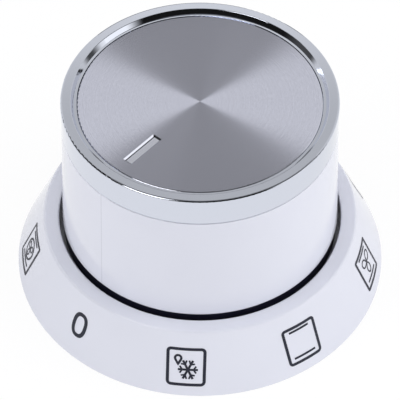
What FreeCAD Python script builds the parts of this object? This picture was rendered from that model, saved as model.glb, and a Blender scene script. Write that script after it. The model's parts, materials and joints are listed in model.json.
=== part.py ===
import FreeCAD, Part
import math
import os

os.makedirs("parts", exist_ok=True)

# Frame: mm, z = 0 on the panel, +Z out of the panel, +Y along the pointer

# Outside sizes
BASE_R = 30.0
HEIGHT = 36.3
FLARE = 4.7
RIM_Z = 10.2
RIM_LAND = 2.5
BARREL_DRAFT = 1.8
CAP_BAND = 5.05
FOOT_LIFT = 0.6

# Wall thicknesses
SKIRT_WALL = 1.6
COLLAR_WALL = 1.4
WEB = 2.0
BARREL_WALL = 1.8
CAP_WALL = 1.6
CAP_FLOOR = 1.1
RIB = 1.4

# Clearances and fits
BARREL_GAP = 0.56
BUSH_GAP = 0.1
END_PLAY = 0.15
SEAT_FIT = 0.05
LEAD_FIT = 0.25
LINE_GAP = 0.12
OVERLAP = 0.3

# Edge roundings
RIM_ROUND = 0.45
WELL_ROUND = 0.25
BASE_ROUND = 0.12
CAP_ROUND = 0.3
LINE_ROUND = 0.12

# Scale ring inside the skirt
WEB_Z = 2.6
POSITIONS = 9
SCREW_PITCH = 28.0
SCREW_HOLE_R = 2.2
SCREW_HEAD_H = 3.1
BOSS_R = 4.5
RIM_T = 2.5

# Shaft, hub and clip
SHAFT_R = 3.0
SHAFT_FLAT = 1.5
HUB_WALL = 2.15
HUB_LOW = 0.8
LEAD_IN = 6.0
GRIP = 14.0
CLIP_W = 3.4
CLIP_T = 0.4
CLIP_BOW = 0.55
PIN_R = 2.4
PIN_L = 4.0

# Core flange, spigot, hooks and gussets
FLANGE_STEP = 0.12
SPIGOT_H = 3.0
BUSH_R = 8.0
HOOK_T = 1.2
HOOK_BITE = 0.6
HOOK_COUNT = 4
HOOK_SWEEP = 44.0
PAD_SWEEP = 24.0
PAD_REACH = 1.2
GUSSETS = 6
GUSSET_H = 8.0

# Top: recess, disc and pointer
LAND = 1.6
BEVEL = 0.48
LEDGE = 0.4
RECESS = 0.7
DISC_T = 0.6
DISC_GAP = 0.05
DISC_EDGE = 0.2
TAPE_T = 0.1
TAPE_IN = 0.4
POINTER_EDGE = 2.25
POINTER_L = 6.9
POINTER_W = 1.7
POINTER_DEPTH = 0.25

# Cap legs and the barrel windows they snap into
LEG_COUNT = 3
LEG_INSET = 3.65
LEG_W = 4.0
LEG_T = 1.4
LEG_BITE = 0.6

# Levels and radii that follow from the sizes above
FOOT_Z = RIM_Z + FOOT_LIFT
LINE_Z = HEIGHT - CAP_BAND
DRAFT = math.tan(math.radians(BARREL_DRAFT))
RIM_R = BASE_R - FLARE
WELL_R = RIM_R - RIM_LAND
CAVITY_TOP = RIM_Z - RIM_T
BARREL_FOOT_R = WELL_R - BARREL_GAP
BARREL_TOP_R = BARREL_FOOT_R - (LINE_Z - FOOT_Z) * DRAFT
WEB_TOP = WEB_Z + WEB
FLANGE_Z = WEB_TOP + SCREW_HEAD_H + 2 * END_PLAY
FLANGE_R = BARREL_FOOT_R - FLANGE_STEP
SPIGOT_R = BARREL_FOOT_R - BARREL_WALL - SEAT_FIT
BORE_R = SHAFT_R + SEAT_FIT
LEAD_R = SHAFT_R + LEAD_FIT
FLAT_Y = SHAFT_FLAT + SEAT_FIT
HUB_R = BORE_R + HUB_WALL
GRIP_Z = HUB_LOW + LEAD_IN
BORE_END = GRIP_Z + GRIP
HUB_TOP = BORE_END + WEB / 2
HOOK_R = BUSH_R - BUSH_GAP
CLIP_BACK = FLAT_Y + CLIP_T + CLIP_BOW - SEAT_FIT
LAND_R = BARREL_TOP_R - LAND
LEDGE_R = LAND_R - BEVEL
POCKET_R = LEDGE_R - LEDGE
DISC_R = POCKET_R - DISC_GAP
DISC_TOP = HEIGHT - RECESS
DISC_Z = DISC_TOP - DISC_T
FLOOR_Z = DISC_Z - TAPE_T
DECK_TOP = FLOOR_Z - CAP_FLOOR
DECK_Z = DECK_TOP - WEB
NECK_R = BARREL_TOP_R - CAP_WALL - SEAT_FIT
NECK_IN = NECK_R - BARREL_WALL
LEG_R = NECK_IN - LEG_INSET
POINTER_OUT = DISC_R - POINTER_EDGE
POINTER_IN = POINTER_OUT - POINTER_L

V = FreeCAD.Vector
ORIGIN = V(0, 0, 0)
AXIS = V(0, 0, 1)
NEAR = 1e-4


def turned(points, start=0.0, sweep=360.0):
    """Solid turned about the axis from its (r, z) half-section."""
    loop = [V(r, 0, z) for r, z in points]
    face = Part.Face(Part.makePolygon(loop + loop[:1]))
    solid = Part.Solid(face.revolve(ORIGIN, AXIS, sweep))
    solid.rotate(ORIGIN, AXIS, start)
    if solid.Volume < 0:
        solid.reverse()
    return solid


def tube(inner, outer, low, high):
    """Plain ring, or a disc when the inner radius is zero."""
    return turned([(inner, low), (outer, low), (outer, high), (inner, high)])


def block(x0, x1, y0, y1, z0, z1):
    """Box between two corners."""
    return Part.makeBox(x1 - x0, y1 - y0, z1 - z0, V(x0, y0, z0))


def around(shape, count, first=0.0):
    """Copies of a shape, evenly spaced about the axis."""
    copies = []
    for i in range(count):
        copy = shape.copy()
        copy.rotate(ORIGIN, AXIS, first + 360.0 * i / count)
        copies.append(copy)
    return copies


def fin(points, thickness):
    """Radial plate from its (r, z) outline, centred on the +X direction."""
    loop = [V(r, -thickness / 2, z) for r, z in points]
    face = Part.Face(Part.makePolygon(loop + loop[:1]))
    return face.extrude(V(0, thickness, 0))


def rounded(shape, radius, *rings):
    """Fillet the circular edges about the axis at the given (r, z)."""
    edges = []
    for edge in shape.Edges:
        if not isinstance(edge.Curve, Part.Circle):
            continue
        size, level = edge.Curve.Radius, edge.Curve.Center.z
        if any(abs(size - r) < NEAR and abs(level - z) < NEAR for r, z in rings):
            edges.append(edge)
    return shape.makeFillet(radius, edges)


def bored(shape, radius, low, high, x=0.0):
    """Shape with a round hole along Z."""
    return shape.cut(Part.makeCylinder(radius, high - low, V(x, 0, low)))


def cone_r(z):
    """Outer radius of the skirt at a height."""
    return BASE_R + (RIM_R - BASE_R) * z / RIM_Z


def scale_ring():
    slope = math.hypot(BASE_R - RIM_R, RIM_Z) / RIM_Z
    wall = SKIRT_WALL * slope
    collar = WELL_R + COLLAR_WALL
    section = [
        (BASE_R, 0),
        (RIM_R, RIM_Z),
        (WELL_R, RIM_Z),
        (WELL_R, WEB_TOP),
        (BUSH_R, WEB_TOP),
        (BUSH_R, WEB_Z),
        (collar, WEB_Z),
        (collar, CAVITY_TOP),
        (cone_r(CAVITY_TOP) - wall, CAVITY_TOP),
        (BASE_R - wall, 0),
    ]
    ring = turned(section)
    ring = rounded(ring, RIM_ROUND, (RIM_R, RIM_Z))
    ring = rounded(ring, WELL_ROUND, (WELL_R, RIM_Z), (BUSH_R, WEB_TOP))
    ring = rounded(ring, BASE_ROUND, (BASE_R, 0))
    rib = fin(
        [
            (collar - OVERLAP, WEB_Z),
            (collar - OVERLAP, CAVITY_TOP + OVERLAP),
            (cone_r(CAVITY_TOP) - wall + OVERLAP, CAVITY_TOP + OVERLAP),
            (BASE_R - wall + OVERLAP, OVERLAP),
            (BASE_R - wall - WEB_Z, OVERLAP),
        ],
        RIB,
    )
    ring = ring.fuse(around(rib, POSITIONS, 90 + 180 / POSITIONS))
    offset = SCREW_PITCH / 2
    for x in (-offset, offset):
        ring = ring.fuse(Part.makeCylinder(BOSS_R, WEB_Z + OVERLAP, V(x, 0, 0)))
    for x in (-offset, offset):
        ring = bored(ring, SCREW_HOLE_R, 0, WEB_TOP, x)
    return ring.removeSplitter()


def shaft_bore():
    """Round lead-in, then the flatted grip length with the clip pocket beside the flat."""
    lead = Part.makeCylinder(LEAD_R, LEAD_IN, V(0, 0, HUB_LOW))
    grip = Part.makeCylinder(BORE_R, GRIP, V(0, 0, GRIP_Z))
    grip = grip.cut(block(-HUB_R, HUB_R, FLAT_Y, HUB_R, GRIP_Z, BORE_END))
    half = CLIP_W / 2 + SEAT_FIT
    pocket = block(-half, half, 0, CLIP_BACK, GRIP_Z, BORE_END)
    return lead.fuse([grip, pocket])


def snap_hooks():
    """Hooks that pass through the bush and catch under the web, with thrust pads between them."""
    catch_z = WEB_Z - END_PLAY
    catch_r = BUSH_R + HOOK_BITE
    inner = HOOK_R - HOOK_T
    hook = [
        (inner, FLANGE_Z + OVERLAP),
        (inner, HUB_LOW),
        (HOOK_R - HOOK_BITE, HUB_LOW),
        (catch_r, catch_z - HOOK_BITE),
        (catch_r, catch_z),
        (HOOK_R, catch_z),
        (HOOK_R, FLANGE_Z + OVERLAP),
    ]
    pad_r = BUSH_R + PAD_REACH
    pad_z = WEB_TOP + END_PLAY
    pad = [
        (inner, pad_z),
        (pad_r, pad_z),
        (pad_r, FLANGE_Z + OVERLAP),
        (inner, FLANGE_Z + OVERLAP),
    ]
    hooks = around(turned(hook, -HOOK_SWEEP / 2, HOOK_SWEEP), HOOK_COUNT)
    pads = around(turned(pad, -PAD_SWEEP / 2, PAD_SWEEP), HOOK_COUNT, 180 / HOOK_COUNT)
    return hooks + pads


def hub_core():
    spigot_in = SPIGOT_R - BARREL_WALL
    web_top = FLANGE_Z + WEB
    flange = turned(
        [
            (HUB_R - OVERLAP, FLANGE_Z),
            (FLANGE_R, FLANGE_Z),
            (FLANGE_R, FOOT_Z),
            (SPIGOT_R, FOOT_Z),
            (SPIGOT_R - SPIGOT_H * DRAFT, FOOT_Z + SPIGOT_H),
            (spigot_in, FOOT_Z + SPIGOT_H),
            (spigot_in, web_top),
            (HUB_R - OVERLAP, web_top),
        ]
    )
    flange = rounded(flange, WELL_ROUND, (FLANGE_R, FLANGE_Z))
    hub = tube(0, HUB_R, HUB_LOW, HUB_TOP)
    pin = tube(0, PIN_R, HUB_TOP - OVERLAP, HUB_TOP + PIN_L)
    gusset = fin(
        [
            (HUB_R - OVERLAP, web_top - OVERLAP),
            (spigot_in + OVERLAP, web_top - OVERLAP),
            (spigot_in + OVERLAP, FOOT_Z + SPIGOT_H - OVERLAP),
            (HUB_R + RIB, web_top + GUSSET_H),
            (HUB_R - OVERLAP, web_top + GUSSET_H),
        ],
        RIB,
    )
    core = flange.fuse([hub, pin] + around(gusset, GUSSETS) + snap_hooks())
    return core.cut(shaft_bore()).removeSplitter()


def shaft_clip():
    """Leaf with its ends against the pocket's back and its middle bowed towards the shaft's flat."""
    low, high = GRIP_Z + SEAT_FIT, BORE_END - SEAT_FIT
    middle = (low + high) / 2
    back = CLIP_BACK
    outer = Part.Arc(V(0, back, low), V(0, back - CLIP_BOW, middle), V(0, back, high))
    front = back - CLIP_T
    inner = Part.Arc(V(0, front, high), V(0, front - CLIP_BOW, middle), V(0, front, low))
    ends = [
        Part.makeLine(V(0, back, high), V(0, front, high)),
        Part.makeLine(V(0, front, low), V(0, back, low)),
    ]
    wire = Part.Wire([outer.toShape(), ends[0], inner.toShape(), ends[1]])
    leaf = Part.Face(wire).extrude(V(CLIP_W, 0, 0))
    leaf.translate(V(-CLIP_W / 2, 0, 0))
    return leaf


def leg_window():
    """Opening in the barrel's deck that a cap leg snaps through."""
    half = LEG_W / 2 + SEAT_FIT
    outer = LEG_R + LEG_T / 2 + SEAT_FIT
    inner = LEG_R - LEG_T / 2 - LEG_BITE - SEAT_FIT
    return block(inner, outer, -half, half, DECK_Z, DECK_TOP)


def barrel_shell():
    shoulder = LINE_Z - BARREL_WALL
    inside = shoulder - BARREL_WALL
    inside_r = BARREL_TOP_R + (LINE_Z - inside) * DRAFT - BARREL_WALL
    shell = turned(
        [
            (BARREL_FOOT_R, FOOT_Z),
            (BARREL_TOP_R, LINE_Z),
            (NECK_R, LINE_Z),
            (NECK_R, DECK_TOP),
            (0, DECK_TOP),
            (0, DECK_Z),
            (NECK_IN, DECK_Z),
            (NECK_IN, shoulder),
            (inside_r, inside),
            (BARREL_FOOT_R - BARREL_WALL, FOOT_Z),
        ]
    )
    shell = rounded(shell, LINE_ROUND, (BARREL_TOP_R, LINE_Z), (BARREL_FOOT_R, FOOT_Z))
    boss = tube(PIN_R + SEAT_FIT, HUB_R, HUB_TOP, DECK_Z + OVERLAP)
    rib = fin(
        [
            (HUB_R - OVERLAP, DECK_Z - PIN_L),
            (NECK_IN + OVERLAP, DECK_Z - RIB),
            (NECK_IN + OVERLAP, DECK_Z + OVERLAP),
            (HUB_R - OVERLAP, DECK_Z + OVERLAP),
        ],
        RIB,
    )
    shell = shell.fuse([boss] + around(rib, GUSSETS))
    return shell.cut(around(leg_window(), LEG_COUNT, -90)).removeSplitter()


def pointer_cut():
    """Groove for the pointer along +Y, its four sides sloping down to a flat floor."""
    half = POINTER_W / 2
    low = DISC_TOP - POINTER_DEPTH
    bar = block(-half, half, POINTER_IN, POINTER_OUT, low, DISC_TOP + OVERLAP)
    foot = [e for e in bar.Edges if max(v.Z for v in e.Vertexes) < low + NEAR]
    return bar.makeChamfer(POINTER_DEPTH, foot)


def snap_leg():
    """Cap leg with a barb that catches under the barrel's deck."""
    outer = LEG_R + LEG_T / 2
    inner = outer - LEG_T
    tip = DECK_Z - 2 * LEG_T
    barb = [
        (inner, DECK_TOP + OVERLAP),
        (outer, DECK_TOP + OVERLAP),
        (outer, DECK_Z - SEAT_FIT),
        (outer + LEG_BITE, DECK_Z - SEAT_FIT),
        (outer, tip),
        (inner, tip),
    ]
    return fin(barb, LEG_W)


def chrome_cap():
    band_in = BARREL_TOP_R - CAP_WALL
    hem = LINE_Z + LINE_GAP
    cap = turned(
        [
            (BARREL_TOP_R, hem),
            (BARREL_TOP_R, HEIGHT),
            (LAND_R, HEIGHT),
            (LEDGE_R, DISC_TOP),
            (POCKET_R, DISC_TOP),
            (POCKET_R, FLOOR_Z),
            (0, FLOOR_Z),
            (0, DECK_TOP),
            (band_in, DECK_TOP),
            (band_in, hem),
        ]
    )
    cap = rounded(cap, CAP_ROUND, (BARREL_TOP_R, HEIGHT))
    cap = rounded(cap, LINE_ROUND, (BARREL_TOP_R, hem), (LAND_R, HEIGHT))
    return cap.fuse(around(snap_leg(), LEG_COUNT, -90)).removeSplitter()


def brushed_disc():
    disc = tube(0, DISC_R, DISC_Z, DISC_TOP)
    disc = rounded(disc, DISC_EDGE, (DISC_R, DISC_TOP))
    return disc.cut(pointer_cut())


def disc_tape():
    return tube(0, DISC_R - TAPE_IN, FLOOR_Z, DISC_Z)


PIECES = {
    "scale_ring": scale_ring,
    "hub_core": hub_core,
    "shaft_clip": shaft_clip,
    "barrel_shell": barrel_shell,
    "chrome_cap": chrome_cap,
    "brushed_disc": brushed_disc,
    "disc_tape": disc_tape,
}

for name, make in PIECES.items():
    shape = make()
    shape.exportStep("parts/" + name + ".step")
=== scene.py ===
import json
import math

import bmesh
import bpy
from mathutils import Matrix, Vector

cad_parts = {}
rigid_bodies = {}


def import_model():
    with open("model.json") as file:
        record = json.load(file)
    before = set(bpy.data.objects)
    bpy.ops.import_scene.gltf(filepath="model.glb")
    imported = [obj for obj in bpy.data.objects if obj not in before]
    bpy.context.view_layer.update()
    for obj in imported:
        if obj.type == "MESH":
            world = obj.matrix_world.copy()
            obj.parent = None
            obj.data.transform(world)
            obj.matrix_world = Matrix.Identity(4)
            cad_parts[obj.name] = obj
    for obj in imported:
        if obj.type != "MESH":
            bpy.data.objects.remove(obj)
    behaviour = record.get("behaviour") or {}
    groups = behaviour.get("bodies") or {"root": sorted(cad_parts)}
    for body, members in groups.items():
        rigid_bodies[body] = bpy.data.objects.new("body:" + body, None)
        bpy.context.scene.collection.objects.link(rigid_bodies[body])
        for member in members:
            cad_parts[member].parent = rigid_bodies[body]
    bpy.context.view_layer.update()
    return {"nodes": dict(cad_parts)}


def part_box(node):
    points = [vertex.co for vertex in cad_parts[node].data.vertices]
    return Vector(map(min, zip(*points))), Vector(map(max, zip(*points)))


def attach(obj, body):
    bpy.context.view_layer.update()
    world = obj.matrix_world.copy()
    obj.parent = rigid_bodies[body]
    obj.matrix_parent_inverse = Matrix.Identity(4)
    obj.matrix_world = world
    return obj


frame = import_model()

MM = 0.001
NODES = frame["nodes"]

# Sizes in mm, from the frame or as the solids have them
RIM_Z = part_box("scale_ring")[1].z / MM
DISC_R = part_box("brushed_disc")[1].x / MM
DISC_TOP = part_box("brushed_disc")[1].z / MM
BASE_R, RIM_R, DISC_EDGE = 30.0, 25.3, 0.2
POINTER_MIDDLE, POINTER_L, POINTER_W = 13.37, 6.9, 1.7
# The photograph shows the pointer, which runs along +Y, turned 3 degrees past the zero mark
# Number of signs, and the angles of the zero mark and of the grip's mould line
POSITIONS, ZERO_ANGLE, SEAM_ANGLE = 9, 87.0, 86.7

# The photograph's view, in degrees and mm: turned about the axis, raised, aimed at a point on the axis
VIEW_TURN, VIEW_RAISE = 220.8, 47.99
VIEW_RANGE, VIEW_AIM_Z = 400.0, 12.83
VIEW_LENS, VIEW_SENSOR, VIEW_CLIP = 223.07, 36.0, (10.0, 10000.0)


def linear(text):
    """sRGB hex to linear RGBA."""
    shares = [int(text[i:i + 2], 16) / 255 for i in (0, 2, 4)]
    return tuple(c / 12.92 if c <= 0.04045 else ((c + 0.055) / 1.055) ** 2.4 for c in shares) + (1.0,)


def scale_for(size):
    """Scale of a pattern of this size in mm."""
    return 1 / (size * MM)


def add(tree, kind, links=None, **settings):
    """Add a node. A link gives one of its inputs a value, or the node or socket that feeds it."""
    made = tree.nodes.new(kind)
    for key, value in settings.items():
        setattr(made, key, value)
    for key, value in (links or {}).items():
        if isinstance(value, bpy.types.Node):
            value = next(s for s in value.outputs if s.enabled)
        if isinstance(value, bpy.types.NodeSocket):
            tree.links.new(value, made.inputs[key])
        else:
            made.inputs[key].default_value = value
    return made


def blank(name):
    """New material with an empty tree."""
    made = bpy.data.materials.new(name)
    made.use_nodes = True
    made.node_tree.nodes.clear()
    return made, made.node_tree


# The grip's mould line: half its width in mm, and how strongly it shows
SEAM_HALF, SEAM_STRENGTH = 0.06, 0.5


def seam(tree, spot):
    """Where the halves of the tool meet: one line down the grip, 3.3 degrees from the pointer."""
    a = math.radians(SEAM_ANGLE)
    off = add(tree, "ShaderNodeVectorMath", {0: spot, 1: (math.sin(a), -math.cos(a), 0.0)},
              operation="DOT_PRODUCT")
    near = add(tree, "ShaderNodeMath", {0: off.outputs["Value"], 1: 0.0, 2: SEAM_HALF * MM},
               operation="COMPARE")
    part = add(tree, "ShaderNodeSeparateXYZ", {0: spot}).outputs
    side = add(tree, "ShaderNodeMath", {0: part["Y"], 1: 0.0}, operation="GREATER_THAN")
    line = add(tree, "ShaderNodeMath", {0: near, 1: side}, operation="MULTIPLY")
    return add(tree, "ShaderNodeMath", {0: line, 1: SEAM_STRENGTH}, operation="MULTIPLY")


def white_abs(name, mould_line):
    # ABS moulded in a polished tool: cool white, a clear even gloss with the faintest orange peel
    made, tree = blank(name)
    spot = add(tree, "ShaderNodeTexCoord").outputs["Object"]
    # Clouds of flow in the melt, about 12 mm across
    cloud = add(tree, "ShaderNodeTexNoise", {"Vector": spot, "Scale": scale_for(12), "Detail": 2.0})
    tone = add(tree, "ShaderNodeMix", {"Factor": cloud, "A": linear("E6E8F3"), "B": linear("E1E3EF")},
               data_type="RGBA")
    if mould_line:
        tone = add(tree, "ShaderNodeMix", {"Factor": seam(tree, spot), "A": tone, "B": linear("B4B7C4")},
                   data_type="RGBA")
    # Orange peel, about 0.8 mm across and less than a micrometre deep
    peel = add(tree, "ShaderNodeTexNoise", {"Vector": spot, "Scale": scale_for(0.8), "Detail": 1.0})
    bump = add(tree, "ShaderNodeBump", {"Height": peel, "Strength": 0.06, "Distance": 0.01 * MM})
    gloss = add(tree, "ShaderNodeMapRange", {"Value": cloud, "To Min": 0.08, "To Max": 0.14})
    skin = add(tree, "ShaderNodeBsdfPrincipled", {"Base Color": tone, "Roughness": gloss, "IOR": 1.53,
                                                  "Normal": bump})
    add(tree, "ShaderNodeOutputMaterial", {"Surface": skin})
    return made


def chrome_plate(name):
    # Chrome plated on moulded plastic: a cool mirror with a trace of the moulding's waviness
    made, tree = blank(name)
    spot = add(tree, "ShaderNodeTexCoord").outputs["Object"]
    # Waves about 6 mm long
    wave = add(tree, "ShaderNodeTexNoise", {"Vector": spot, "Scale": scale_for(6), "Detail": 1.0})
    bump = add(tree, "ShaderNodeBump", {"Height": wave, "Strength": 0.05, "Distance": 0.02 * MM})
    haze = add(tree, "ShaderNodeMapRange", {"Value": wave, "To Min": 0.03, "To Max": 0.07})
    skin = add(tree, "ShaderNodeBsdfPrincipled", {"Base Color": linear("D3D7E2"), "Metallic": 1.0,
                                                  "Roughness": haze, "Normal": bump})
    add(tree, "ShaderNodeOutputMaterial", {"Surface": skin})
    return made


# The groove is looked for within this share of its length and width each way, and below this depth in mm
CUT_SHARE, CUT_DEPTH = 0.55, 0.015
CUT_ROUGHNESS = 0.06
# Painted shade line in the groove: how far in from the wall's top it lies, and half its width, in mm
SHADE_LINE_IN, SHADE_LINE_HALF = 0.33, 0.09


def diamond_cuts(tree, part, reach):
    """Masks of the disc: all that the diamond has cut, and a painted shade line in the pointer groove.
    """
    along = add(tree, "ShaderNodeMath",
                {0: part["Y"], 1: POINTER_MIDDLE * MM, 2: CUT_SHARE * POINTER_L * MM},
                operation="COMPARE")
    across = add(tree, "ShaderNodeMath", {0: part["X"], 1: 0.0, 2: CUT_SHARE * POINTER_W * MM},
                 operation="COMPARE")
    below = add(tree, "ShaderNodeMath", {0: part["Z"], 1: (DISC_TOP - CUT_DEPTH) * MM},
                operation="LESS_THAN")
    place = add(tree, "ShaderNodeMath", {0: along, 1: across}, operation="MULTIPLY")
    groove = add(tree, "ShaderNodeMath", {0: place, 1: below}, operation="MULTIPLY")
    edge = add(tree, "ShaderNodeMath", {0: reach, 1: (DISC_R - DISC_EDGE) * MM},
               operation="GREATER_THAN")
    cut = add(tree, "ShaderNodeMath", {0: groove, 1: edge}, operation="MAXIMUM")
    # Painted shade: a dark line along the foot of one wall, where the groove lies in shade
    foot = add(tree, "ShaderNodeMath",
               {0: part["X"], 1: (POINTER_W / 2 - SHADE_LINE_IN) * MM, 2: SHADE_LINE_HALF * MM}, operation="COMPARE")
    foot = add(tree, "ShaderNodeMath", {0: foot, 1: groove}, operation="MULTIPLY")
    return cut, foot


def spun_aluminium(name):
    # Aluminium brushed while it spins: rings of scratches that draw the light out into sectors
    made, tree = blank(name)
    spot = add(tree, "ShaderNodeTexCoord").outputs["Object"]
    flat = add(tree, "ShaderNodeVectorMath", {0: spot, 1: (1.0, 1.0, 0.0)}, operation="MULTIPLY")
    reach = add(tree, "ShaderNodeVectorMath", {0: flat}, operation="LENGTH").outputs["Value"]
    # Scratches are about 0.05 mm apart; drawn at 0.2 mm so that they show
    rings = add(tree, "ShaderNodeTexNoise", {"W": reach, "Scale": scale_for(0.2), "Detail": 3.0,
                                             "Roughness": 0.7}, noise_dimensions="1D")
    # Short marks among them, 0.12 mm apart, each about a twentieth of a radian long
    way = add(tree, "ShaderNodeVectorMath", {0: flat}, operation="NORMALIZE")
    round_it = add(tree, "ShaderNodeVectorMath", {0: way, "Scale": 20.0}, operation="SCALE")
    outward = add(tree, "ShaderNodeMath", {0: reach, 1: 0.12 * MM}, operation="DIVIDE")
    outward = add(tree, "ShaderNodeCombineXYZ", {"Z": outward})
    drawn = add(tree, "ShaderNodeVectorMath", {0: round_it, 1: outward}, operation="ADD")
    marks = add(tree, "ShaderNodeTexNoise", {"Vector": drawn, "Scale": 1.0, "Detail": 3.0})
    both = add(tree, "ShaderNodeMix", {"Factor": 0.6, "A": rings, "B": marks})
    tone = add(tree, "ShaderNodeMix", {"Factor": both, "A": linear("C4C6D5"), "B": linear("ECEEFC")},
               data_type="RGBA")
    rough = add(tree, "ShaderNodeMapRange", {"Value": marks, "To Min": 0.15, "To Max": 0.19})
    # The pointer groove and the disc's edge are cut last with a diamond, and shine like a mirror
    part = add(tree, "ShaderNodeSeparateXYZ", {0: spot}).outputs
    cut, foot = diamond_cuts(tree, part, reach)
    tone = add(tree, "ShaderNodeMix", {"Factor": cut, "A": tone, "B": linear("DDDFEA")},
               data_type="RGBA")
    rough = add(tree, "ShaderNodeMix", {"Factor": cut, "A": rough, "B": CUT_ROUGHNESS})
    # Painted shade: the dark line at the foot of the groove's wall
    tone = add(tree, "ShaderNodeMix", {"Factor": foot, "A": tone, "B": linear("50525C")},
               data_type="RGBA")
    turn = add(tree, "ShaderNodeTangent", direction_type="RADIAL", axis="Z")
    bump = add(tree, "ShaderNodeBump", {"Height": rings, "Strength": 0.05, "Distance": 0.004 * MM})
    skin = add(tree, "ShaderNodeBsdfPrincipled", {"Base Color": tone, "Metallic": 1.0,
                                                  "Roughness": rough, "Anisotropic": 1.0,
                                                  "Anisotropic Rotation": 0.25, "Tangent": turn,
                                                  "Normal": bump})
    add(tree, "ShaderNodeOutputMaterial", {"Surface": skin})
    return made


def black_pbt(name):
    # Glass-filled PBT: deep blue-black, half glossy, a little cloudy where the glass lies near the skin
    made, tree = blank(name)
    spot = add(tree, "ShaderNodeTexCoord").outputs["Object"]
    # Clouds about 4 mm across, and the print of the fibres about 0.4 mm across
    flow = add(tree, "ShaderNodeTexNoise", {"Vector": spot, "Scale": scale_for(4), "Detail": 3.0})
    tone = add(tree, "ShaderNodeMix", {"Factor": flow, "A": linear("0B0B1A"), "B": linear("16162A")},
               data_type="RGBA")
    fibre = add(tree, "ShaderNodeTexNoise", {"Vector": spot, "Scale": scale_for(0.4), "Detail": 2.0})
    bump = add(tree, "ShaderNodeBump", {"Height": fibre, "Strength": 0.1, "Distance": 0.01 * MM})
    rough = add(tree, "ShaderNodeMapRange", {"Value": flow, "To Min": 0.25, "To Max": 0.4})
    skin = add(tree, "ShaderNodeBsdfPrincipled", {"Base Color": tone, "Roughness": rough, "IOR": 1.57,
                                                  "Normal": bump})
    add(tree, "ShaderNodeOutputMaterial", {"Surface": skin})
    return made


def spring_steel(name):
    # Cold-rolled spring strip: dull bright metal with rolling lines along its length
    made, tree = blank(name)
    spot = add(tree, "ShaderNodeTexCoord").outputs["Object"]
    # Rolling lines some 0.2 mm apart and 5 mm long
    drawn = add(tree, "ShaderNodeMapping", {"Vector": spot, "Scale": (1.0, 1.0, 0.2 / 5)})
    lines = add(tree, "ShaderNodeTexNoise", {"Vector": drawn, "Scale": scale_for(0.2), "Detail": 2.0})
    tone = add(tree, "ShaderNodeMix", {"Factor": lines, "A": linear("8E9096"), "B": linear("ADAFB5")},
               data_type="RGBA")
    rough = add(tree, "ShaderNodeMapRange", {"Value": lines, "To Min": 0.28, "To Max": 0.42})
    skin = add(tree, "ShaderNodeBsdfPrincipled", {"Base Color": tone, "Metallic": 1.0,
                                                  "Roughness": rough})
    add(tree, "ShaderNodeOutputMaterial", {"Surface": skin})
    return made


def acrylic_film(name):
    # Double-sided acrylic film: pale, soft and dull, with small trapped bubbles about 1.5 mm apart
    made, tree = blank(name)
    spot = add(tree, "ShaderNodeTexCoord").outputs["Object"]
    grain = add(tree, "ShaderNodeTexNoise", {"Vector": spot, "Scale": scale_for(1.5), "Detail": 2.0})
    tone = add(tree, "ShaderNodeMix", {"Factor": grain, "A": linear("D8D7CF"), "B": linear("C9C8C0")},
               data_type="RGBA")
    rough = add(tree, "ShaderNodeMapRange", {"Value": grain, "To Min": 0.6, "To Max": 0.8})
    skin = add(tree, "ShaderNodeBsdfPrincipled", {"Base Color": tone, "Roughness": rough, "IOR": 1.47})
    add(tree, "ShaderNodeOutputMaterial", {"Surface": skin})
    return made


def slate_ink(name):
    # Pad-printed ink: flat dark slate blue, a little thinner in patches about 0.6 mm across
    made, tree = blank(name)
    spot = add(tree, "ShaderNodeTexCoord").outputs["Object"]
    cover = add(tree, "ShaderNodeTexNoise", {"Vector": spot, "Scale": scale_for(0.6), "Detail": 2.0})
    tone = add(tree, "ShaderNodeMix", {"Factor": cover, "A": linear("13162A"), "B": linear("1F2336")},
               data_type="RGBA")
    rough = add(tree, "ShaderNodeMapRange", {"Value": cover, "To Min": 0.4, "To Max": 0.5})
    skin = add(tree, "ShaderNodeBsdfPrincipled", {"Base Color": tone, "Roughness": rough, "IOR": 1.5})
    add(tree, "ShaderNodeOutputMaterial", {"Surface": skin})
    return made


FINISHES = {
    "scale_ring": white_abs("white ABS, moulded skirt", False),
    "barrel_shell": white_abs("white ABS, moulded grip", True),
    "hub_core": black_pbt("black PBT, moulded"),
    "chrome_cap": chrome_plate("chrome plate, bright"),
    "brushed_disc": spun_aluminium("aluminium, spun brushed"),
    "shaft_clip": spring_steel("spring steel strip"),
    "disc_tape": acrylic_film("acrylic film"),
}
for node, finish in FINISHES.items():
    NODES[node].data.materials.clear()
    NODES[node].data.materials.append(finish)


# Signs, drawn flat in mm: x runs counter-clockwise round the skirt, y up its slope towards the rim
# A frame's half width and half height, the height of its middle, and the radius of its corners
FRAME_X, FRAME_Y, FRAME_MIDDLE = 2.9, 3.1, -0.5
ROUND_CORNER, SOFT_CORNER, SHARP_CORNER = 0.55, 0.45, 0.12
# Widths of the lines
NOUGHT_LINE, FRAME_LINE, THIN_LINE, BLADE_LINE = 0.66, 0.5, 0.37, 0.28
# Powers that shape a fan blade: how blunt its tip is, how full its sides are, how fast its root opens
BLADE_TIP, BLADE_SIDES, BLADE_ROOT = 1.5, 0.6, 0.3
# Lines are cut into steps of this length, so that they follow the cone
PITCH = 0.2
# A line grows wider by this factor at most at a corner, and points closer than this are one
MITRE, SAME_POINT = 1.6, 1e-6
# The print lies this far off the skirt, and each stroke this far above the last
PRINT_LIFT, STROKE_LIFT = 0.02, 0.001


def arc(x, y, r, start, end, fewest=6):
    """Points on an arc, about one to every PITCH."""
    count = max(fewest, int(abs(math.radians(end - start)) * r / PITCH) + 1)
    turns = [math.radians(start + (end - start) * i / count) for i in range(count + 1)]
    return [(x + r * math.cos(t), y + r * math.sin(t)) for t in turns]


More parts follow.
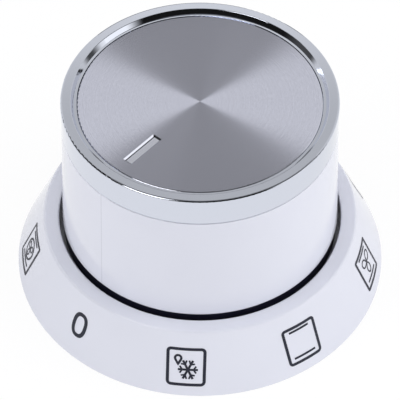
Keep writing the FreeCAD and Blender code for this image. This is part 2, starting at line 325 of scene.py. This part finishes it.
def framed(corner, *strokes):
    """Sign in its frame, both set a little towards the base."""
    x, y = FRAME_X - corner, FRAME_Y - corner
    outline = (arc(x, y, corner, 0, 90) + arc(-x, y, corner, 90, 180)
               + arc(-x, -y, corner, 180, 270) + arc(x, -y, corner, 270, 360))
    drawn = [(outline, FRAME_LINE, True), *strokes]
    return [([(a, b + FRAME_MIDDLE) for a, b in points], line, closed) for points, line, closed in drawn]


def bar(y, half=1.75):
    """Straight line, for a heating element or a rib of the bulb's cap."""
    return ([(-half, y), (half, y)], THIN_LINE, False)


def grill(y, half=1.75, rise=0.4, teeth=4):
    """Zigzag line for the grill."""
    count = 2 * teeth
    points = [(-half + 2 * half * i / count, y + (rise if i % 2 else -rise)) for i in range(count + 1)]
    return (points, THIN_LINE, False)


def fan(size, x=0.0, y=0.0, turns=(36, 155, 263), swing=52, steps=32):
    """Three outlined blades about a centre, broad at the root and pointed."""
    strokes = []
    for turn in turns:
        points = []
        for i in range(steps + 1):
            t = math.pi * i / steps
            reach = size * (1 - abs(math.cos(t)) ** BLADE_TIP) ** BLADE_SIDES
            a = math.radians(turn + swing * math.cos(t) * math.sin(t) ** BLADE_ROOT)
            points.append((x + reach * math.cos(a), y + reach * math.sin(a)))
        strokes.append((points, BLADE_LINE, False))
    return strokes


def snowflake(x, y, wide, tall, arms=6, knee=0.56, branch=0.42, lean=52):
    """Arms with a pair of branches each, which leave the arm at its knee."""
    strokes = []
    for k in range(arms):
        a = math.tau * k / arms
        end = (x + wide * math.cos(a), y + tall * math.sin(a))
        strokes.append(([(x, y), end], THIN_LINE, False))
        fork = (x + knee * wide * math.cos(a), y + knee * tall * math.sin(a))
        for b in (a - math.radians(lean), a + math.radians(lean)):
            tip = (fork[0] + branch * wide * math.cos(b), fork[1] + branch * tall * math.sin(b))
            strokes.append(([fork, tip], BLADE_LINE, False))
    return strokes


def water_drop(x, y, r, tip, shoulder=25):
    """Drop with its tip towards the base."""
    return (arc(x, y, r, -shoulder, 180 + shoulder) + [(x, y - tip)], THIN_LINE, True)


def oven_light(glass_y=-0.25, glass_r=1.25, neck=38, rib_y=1.15, rib_half=0.55, rib_pitch=0.42, ribs=3):
    """Bulb, its glass towards the base, with a ribbed cap."""
    glass = arc(0.0, glass_y, glass_r, 90 + neck, 450 - neck)
    cap = [bar(rib_y + rib_pitch * k, rib_half) for k in range(ribs)]
    return [(glass, THIN_LINE, False), *cap]


def nought(wide=1.17, tall=1.9, middle=0.25, power=0.8, steps=48):
    """Upright figure 0, a little squarer than an ellipse."""
    points = []
    for i in range(steps):
        c, s = math.cos(math.tau * i / steps), math.sin(math.tau * i / steps)
        x = wide * math.copysign(abs(c) ** power, c)
        y = middle + tall * math.copysign(abs(s) ** power, s)
        points.append((x, y))
    return [(points, NOUGHT_LINE, True)]


BOTH_HEATERS = (bar(y=2.45, half=1.85), bar(y=-2.2, half=2.0))
RING = (arc(x=0, y=0, r=1.7, start=0, end=360)[:-1], THIN_LINE, True)
SIGNS = [
    nought(),
    framed(ROUND_CORNER, water_drop(x=-1.27, y=1.5, r=0.5, tip=1.05),
           *snowflake(x=0.3, y=-0.45, wide=1.58, tall=1.85)),
    framed(SOFT_CORNER, *BOTH_HEATERS),
    framed(SHARP_CORNER, *BOTH_HEATERS, *fan(size=1.95, x=0.3, y=0.35)),
    framed(SOFT_CORNER, bar(y=2.3)),
    framed(SOFT_CORNER, grill(y=-1.95)),
    framed(SOFT_CORNER, grill(y=-1.95), *fan(size=1.6, x=0.1, y=0.8)),
    framed(SOFT_CORNER, *oven_light()),
    framed(SHARP_CORNER, *BOTH_HEATERS, RING, *fan(size=1.3)),
]
# How far the print of a sign lies from its even place, in mm, measured in the photograph
ASIDE = {1: -0.34, 2: -0.44, 8: 0.36}


def spread(points, closed):
    """Points with none further apart than PITCH."""
    loop = points + points[:1] if closed else points
    out = []
    for (x0, y0), (x1, y1) in zip(loop, loop[1:]):
        count = max(1, math.ceil(math.hypot(x1 - x0, y1 - y0) / PITCH))
        out += [(x0 + (x1 - x0) * i / count, y0 + (y1 - y0) * i / count) for i in range(count)]
    return out if closed else out + [points[-1]]


def ribbon(bm, points, line, closed, lift):
    """Flat band of one line's width along the points."""
    path = [Vector(p) for p in spread(points, closed)]
    path = [p for i, p in enumerate(path) if i == 0 or (p - path[i - 1]).length > SAME_POINT]
    count = len(path)
    rails = []
    for i, p in enumerate(path):
        before = (p - path[i - 1]).normalized() if i or closed else (path[1] - p).normalized()
        after = (path[(i + 1) % count] - p).normalized() if i + 1 < count or closed else before
        along = (before + after).normalized()
        off = Vector((-along.y, along.x)) * (line / 2 / max(1 / MITRE, along.dot(before)))
        rails.append([bm.verts.new((q.x, q.y, lift)) for q in (p - off, p + off)])
    pairs = zip(rails, rails[1:] + rails[:1]) if closed else zip(rails, rails[1:])
    for a, b in pairs:
        bm.faces.new((a[0], b[0], b[1], a[1]))


def flat_sign(name, strokes, aside, store):
    """One sign as a flat mesh in metres, each stroke a hair above the last."""
    bm = bmesh.new()
    for k, (points, line, closed) in enumerate(strokes):
        ribbon(bm, [(x + aside, y) for x, y in points], line, closed, STROKE_LIFT * k)
    bmesh.ops.scale(bm, vec=(MM, MM, MM), verts=bm.verts)
    mesh = bpy.data.meshes.new(name)
    bm.to_mesh(mesh)
    bm.free()
    store.objects.link(bpy.data.objects.new(name, mesh))


def print_tree():
    """Sets the flat signs out round the axis and lays them on the skirt's cone."""
    tree = bpy.data.node_groups.new("signs on the skirt", "GeometryNodeTree")
    tree.interface.new_socket("Geometry", in_out="OUTPUT", socket_type="NodeSocketGeometry")
    for name, kind in (("Signs", "Collection"), ("Count", "Int"), ("First angle", "Float"),
                       ("Rim radius", "Float"), ("Base radius", "Float"), ("Rim height", "Float"),
                       ("Lift", "Float"), ("Ink", "Material")):
        tree.interface.new_socket(name, in_out="INPUT", socket_type="NodeSocket" + kind)
    given = add(tree, "NodeGroupInput").outputs
    # One point for each sign, which keeps its turn about the axis
    index = add(tree, "GeometryNodeInputIndex")
    step = add(tree, "ShaderNodeMath", {0: math.tau, 1: given["Count"]}, operation="DIVIDE")
    turn = add(tree, "ShaderNodeMath", {0: index, 1: step, 2: given["First angle"]},
               operation="MULTIPLY_ADD")
    hold = add(tree, "GeometryNodeCaptureAttribute",
               {"Geometry": add(tree, "GeometryNodePoints", {"Count": given["Count"]})})
    hold.capture_items.new("FLOAT", "Turn")
    tree.links.new(turn.outputs[0], hold.inputs["Turn"])
    stock = add(tree, "GeometryNodeCollectionInfo", {"Collection": given["Signs"],
                                                     "Separate Children": True, "Reset Children": True})
    stamp = add(tree, "GeometryNodeInstanceOnPoints", {"Points": hold, "Instance": stock,
                                                       "Pick Instance": True, "Instance Index": index})
    real = add(tree, "GeometryNodeRealizeInstances", {"Geometry": stamp})
    # In the plane of radius and height: the slope's middle, its direction, and the way out of it
    base = add(tree, "ShaderNodeCombineXYZ", {"X": given["Base radius"]})
    rim = add(tree, "ShaderNodeCombineXYZ", {"X": given["Rim radius"], "Z": given["Rim height"]})
    middle = add(tree, "ShaderNodeMix", {"Factor": 0.5, "A": base, "B": rim}, data_type="VECTOR")
    slope = add(tree, "ShaderNodeVectorMath", {0: rim, 1: base}, operation="SUBTRACT")
    up = add(tree, "ShaderNodeVectorMath", {0: slope}, operation="NORMALIZE")
    out = add(tree, "ShaderNodeVectorMath", {0: (0.0, 1.0, 0.0), 1: up}, operation="CROSS_PRODUCT")
    # Flat y goes up the slope, flat x round the axis
    flat = add(tree, "ShaderNodeSeparateXYZ", {0: add(tree, "GeometryNodeInputPosition")}).outputs
    climb = add(tree, "ShaderNodeVectorMath", {0: up, "Scale": flat["Y"]}, operation="SCALE")
    foot = add(tree, "ShaderNodeVectorMath", {0: middle, 1: climb}, operation="ADD")
    height = add(tree, "ShaderNodeMath", {0: flat["Z"], 1: given["Lift"]}, operation="ADD")
    raised = add(tree, "ShaderNodeVectorMath", {0: out, "Scale": height}, operation="SCALE")
    clear = add(tree, "ShaderNodeVectorMath", {0: foot, 1: raised}, operation="ADD")
    reach = add(tree, "ShaderNodeSeparateXYZ", {0: foot}).outputs["X"]
    swing = add(tree, "ShaderNodeMath", {0: flat["X"], 1: reach}, operation="DIVIDE")
    angle = add(tree, "ShaderNodeMath", {0: swing, 1: hold.outputs["Turn"]}, operation="ADD")
    place = add(tree, "ShaderNodeVectorRotate", {"Vector": clear, "Angle": angle},
                rotation_type="Z_AXIS")
    laid = add(tree, "GeometryNodeSetPosition", {"Geometry": real, "Position": place})
    inked = add(tree, "GeometryNodeSetMaterial", {"Geometry": laid, "Material": given["Ink"]})
    add(tree, "NodeGroupOutput", {"Geometry": inked})
    return tree


def scale_print():
    """All the signs as one printed layer on the scale ring."""
    store = bpy.data.collections.new("flat signs")
    for k, strokes in enumerate(SIGNS):
        flat_sign("sign_%d" % k, strokes, ASIDE.get(k, 0.0), store)
    carrier = bpy.data.objects.new("carrier", bpy.data.meshes.new("carrier"))
    bpy.context.scene.collection.objects.link(carrier)
    lay = carrier.modifiers.new("lay", "NODES")
    lay.node_group = print_tree()
    values = {"Signs": store, "Count": POSITIONS, "First angle": math.radians(ZERO_ANGLE),
              "Rim radius": RIM_R * MM, "Base radius": BASE_R * MM, "Rim height": RIM_Z * MM,
              "Lift": PRINT_LIFT * MM, "Ink": slate_ink("slate ink, pad printed")}
    for item in lay.node_group.interface.items_tree:
        if item.in_out == "INPUT":
            lay[item.identifier] = values[item.name]
    shown = carrier.evaluated_get(bpy.context.evaluated_depsgraph_get())
    mesh = bpy.data.meshes.new_from_object(shown)
    for spare in [carrier, *store.objects]:
        bpy.data.objects.remove(spare)
    bpy.data.collections.remove(store)
    made = bpy.data.objects.new("scale_print", mesh)
    bpy.context.scene.collection.objects.link(made)
    return made


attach(scale_print(), "scale")


# Studio sizes in mm, and the floor's share of glow and its strength
FLOOR_HALF, FLOOR_DROP, LAMP_RANGE = 1500.0, 0.02, 700.0
FLOOR_SHARE, FLOOR_GLOW = 0.86, 1.03
# Levels of light: the even fill for matt surfaces, and what the metal reflects
FILL, ROOM_BLACK, ROOM_DIM, ROOM_PALE = 0.54, 0.01, 0.08, 0.45
PANEL_LEVEL, PATCH_NEAR, PATCH_FAR, BOX_LEVEL = 0.69, 0.62, 0.95, 1.3
# Directions in the view's frame: x to its right, y away from the camera, z up
MIRRORED = (0.0, 0.698, 0.716)
BOX_AIM = Vector((0.91, -0.29, 0.31)).normalized()
BOX_SIDE = Vector((0.42, 0.87, -0.27)).normalized()
# The panels' tilt, and the slope and softness of their edges
PANEL_TILT, PANEL_SLOPE, PANEL_SOFT = 0.056, 0.73, 0.015
# The soft box's half sides, and the share of them that is evenly bright
BOX_HALF_SIDES, BOX_EVEN = (0.42, 0.45), 0.35
# Where soft changes begin and end: in y, in z, or as a cosine to the mirrored direction
ROOM_Y, ROOM_Z, PANEL_Y, PATCH_Y = (-0.35, -0.05), (0.80, 0.95), (0.15, 0.30), (0.69, 0.735)
AWAY_COSINE, PATCH_COSINE = (0.97, 0.91), (0.9965, 0.9985)


def white_floor():
    """White paper that takes a soft shadow and stays white to the camera and in reflections."""
    mesh = bpy.data.meshes.new("floor")
    half = FLOOR_HALF * MM
    corners = [(-half, -half, 0), (half, -half, 0), (half, half, 0), (-half, half, 0)]
    mesh.from_pydata(corners, [], [(0, 1, 2, 3)])
    made = bpy.data.objects.new("floor", mesh)
    bpy.context.scene.collection.objects.link(made)
    made.location.z = -FLOOR_DROP * MM
    paper, tree = blank("white paper")
    path = add(tree, "ShaderNodeLightPath").outputs
    seen = add(tree, "ShaderNodeMath", {0: path["Is Camera Ray"], 1: path["Is Glossy Ray"]},
               operation="MAXIMUM")
    seen = add(tree, "ShaderNodeMath", {0: seen, 1: path["Is Transmission Ray"]}, operation="MAXIMUM")
    share = add(tree, "ShaderNodeMath", {0: seen, 1: FLOOR_SHARE}, operation="MULTIPLY")
    matt = add(tree, "ShaderNodeBsdfDiffuse", {"Color": linear("F4F4F6")})
    glow = add(tree, "ShaderNodeEmission", {"Color": linear("FFFFFF"), "Strength": FLOOR_GLOW})
    mix = add(tree, "ShaderNodeMixShader", {0: share, 1: matt, 2: glow})
    add(tree, "ShaderNodeOutputMaterial", {"Surface": mix})
    mesh.materials.append(paper)


def around_view(azimuth, raised, reach):
    """Place at an azimuth: 0 is right of the view, 90 behind the knob, -90 at the camera."""
    a, e = math.radians(azimuth + VIEW_TURN), math.radians(raised)
    way = Vector((math.cos(a) * math.cos(e), math.sin(a) * math.cos(e), math.sin(e)))
    return way * (reach * MM)


def soft_lamp(name, azimuth, raised, size, power, gloss=False):
    """Square soft light aimed at the knob, either for matt surfaces or to be seen in glossy ones."""
    data = bpy.data.lights.new(name, "AREA")
    data.size, data.energy = size * MM, power
    made = bpy.data.objects.new(name, data)
    bpy.context.scene.collection.objects.link(made)
    made.location = around_view(azimuth, raised, LAMP_RANGE)
    made.rotation_euler = made.location.to_track_quat("Z", "Y").to_euler()
    made.visible_glossy, made.visible_diffuse = gloss, not gloss


def room(tree, part, meet):
    """Dim room with two panels of light, paler well away from the mirrored direction."""
    # The room is black behind the camera, up to nearly overhead
    back = add(tree, "ShaderNodeMapRange",
               {"Value": part["Y"], "From Min": ROOM_Y[0], "From Max": ROOM_Y[1]},
               interpolation_type="SMOOTHSTEP")
    high = add(tree, "ShaderNodeMapRange",
               {"Value": part["Z"], "From Min": ROOM_Z[0], "From Max": ROOM_Z[1]},
               interpolation_type="SMOOTHSTEP")
    open_air = add(tree, "ShaderNodeMath", {0: back, 1: high}, operation="MAXIMUM")
    light = add(tree, "ShaderNodeMapRange",
                {"Value": open_air, "To Min": ROOM_BLACK, "To Max": ROOM_DIM})
    # Panels left and right that meet in a point, a little tilted, as the disc's sectors show
    aside = add(tree, "ShaderNodeMath", {0: part["X"]}, operation="ABSOLUTE")
    over = add(tree, "ShaderNodeMath", {0: part["Y"], 1: MIRRORED[1]}, operation="SUBTRACT")
    over = add(tree, "ShaderNodeMath", {0: part["X"], 1: -PANEL_TILT, 2: over}, operation="MULTIPLY_ADD")
    over = add(tree, "ShaderNodeMath", {0: over}, operation="ABSOLUTE")
    edge = add(tree, "ShaderNodeMath", {0: aside, 1: -PANEL_SLOPE, 2: over}, operation="MULTIPLY_ADD")
    panels = add(tree, "ShaderNodeMapRange",
                 {"Value": edge, "From Min": PANEL_SOFT, "From Max": -PANEL_SOFT},
                 interpolation_type="SMOOTHSTEP")
    above = add(tree, "ShaderNodeMapRange",
                {"Value": part["Y"], "From Min": PANEL_Y[0], "From Max": PANEL_Y[1]},
                interpolation_type="SMOOTHSTEP")
    panels = add(tree, "ShaderNodeMath", {0: panels, 1: above}, operation="MULTIPLY")
    light = add(tree, "ShaderNodeMath", {0: panels, 1: PANEL_LEVEL, 2: light}, operation="MULTIPLY_ADD")
    # The paler room keeps the metal bright from other sides
    away = add(tree, "ShaderNodeMapRange",
               {"Value": meet, "From Min": AWAY_COSINE[0], "From Max": AWAY_COSINE[1],
                "To Max": ROOM_PALE},
               interpolation_type="SMOOTHSTEP")
    away = add(tree, "ShaderNodeMath", {0: away, 1: above}, operation="MULTIPLY")
    return add(tree, "ShaderNodeMath", {0: light, 1: away}, operation="MAXIMUM")


def pale_patch(tree, part, meet, light):
    """The light with a small patch where the panels meet, which the cap's flat ring mirrors."""
    patch = add(tree, "ShaderNodeMapRange",
                {"Value": meet, "From Min": PATCH_COSINE[0], "From Max": PATCH_COSINE[1]},
                interpolation_type="SMOOTHSTEP")
    # Brighter to the far side
    pale = add(tree, "ShaderNodeMapRange",
               {"Value": part["Y"], "From Min": PATCH_Y[0], "From Max": PATCH_Y[1],
                "To Min": PATCH_NEAR, "To Max": PATCH_FAR},
               interpolation_type="SMOOTHSTEP")
    return add(tree, "ShaderNodeMix", {"Factor": patch, "A": light, "B": pale})


def soft_box(tree, ahead, light):
    """The light with a soft box low on the right, which the pointer's wall and the cap's edges catch."""
    facing = add(tree, "ShaderNodeVectorMath", {0: ahead, 1: BOX_AIM}, operation="DOT_PRODUCT")
    box = add(tree, "ShaderNodeMath", {0: facing.outputs["Value"], 1: 0.0}, operation="GREATER_THAN")
    for way, reach in zip((BOX_SIDE, BOX_AIM.cross(BOX_SIDE)), BOX_HALF_SIDES):
        along = add(tree, "ShaderNodeVectorMath", {0: ahead, 1: way}, operation="DOT_PRODUCT")
        off = add(tree, "ShaderNodeMath", {0: along.outputs["Value"], 1: way.dot(BOX_AIM)},
                  operation="SUBTRACT")
        off = add(tree, "ShaderNodeMath", {0: off}, operation="ABSOLUTE")
        inside = add(tree, "ShaderNodeMapRange",
                     {"Value": off, "From Min": reach, "From Max": BOX_EVEN * reach},
                     interpolation_type="SMOOTHSTEP")
        box = add(tree, "ShaderNodeMath", {0: box, 1: inside}, operation="MULTIPLY")
    return add(tree, "ShaderNodeMath", {0: box, 1: BOX_LEVEL, 2: light}, operation="MULTIPLY_ADD")


def surround():
    """What the metal reflects, an even fill for matt surfaces, and white to the camera itself."""
    world = bpy.data.worlds.new("surround")
    bpy.context.scene.world = world
    world.use_nodes = True
    tree = world.node_tree
    tree.nodes.clear()
    out = add(tree, "ShaderNodeTexCoord").outputs["Generated"]
    ahead = add(tree, "ShaderNodeVectorRotate", {"Vector": out, "Angle": -math.radians(VIEW_TURN)},
                rotation_type="Z_AXIS")
    part = add(tree, "ShaderNodeSeparateXYZ", {0: ahead}).outputs
    # How near a direction is to the one that the flat top mirrors to the camera
    meet = add(tree, "ShaderNodeVectorMath", {0: ahead, 1: MIRRORED}, operation="DOT_PRODUCT")
    meet = meet.outputs["Value"]
    light = room(tree, part, meet)
    light = pale_patch(tree, part, meet, light)
    light = soft_box(tree, ahead, light)
    path = add(tree, "ShaderNodeLightPath").outputs
    level = add(tree, "ShaderNodeMix", {"Factor": path["Is Glossy Ray"], "A": FILL, "B": light})
    level = add(tree, "ShaderNodeMix", {"Factor": path["Is Camera Ray"], "A": level, "B": 1.0})
    sky = add(tree, "ShaderNodeBackground", {"Color": linear("FFFFFF"), "Strength": level})
    add(tree, "ShaderNodeOutputWorld", {"Surface": sky})


def photo_view():
    """Camera at the photograph's angle."""
    data = bpy.data.cameras.new("view")
    data.lens, data.sensor_width = VIEW_LENS, VIEW_SENSOR
    data.clip_start, data.clip_end = [limit * MM for limit in VIEW_CLIP]
    made = bpy.data.objects.new("view", data)
    bpy.context.scene.collection.objects.link(made)
    made.location = around_view(-90.0, VIEW_RAISE, VIEW_RANGE) + Vector((0, 0, VIEW_AIM_Z * MM))
    made.rotation_euler = (math.radians(90 - VIEW_RAISE), 0.0, math.radians(VIEW_TURN))
    bpy.context.scene.camera = made


white_floor()
surround()
soft_lamp("top light", azimuth=90, raised=75, size=600, power=0.5)
soft_lamp("left light", azimuth=-160, raised=35, size=400, power=1.0)
soft_lamp("right light", azimuth=-10, raised=30, size=500, power=1.7)
soft_lamp("front light", azimuth=-90, raised=30, size=600, power=0.58)
soft_lamp("edge light", azimuth=-134, raised=46.8, size=330, power=1.4, gloss=True)
photo_view()
bpy.context.scene.view_settings.view_transform = "Standard"
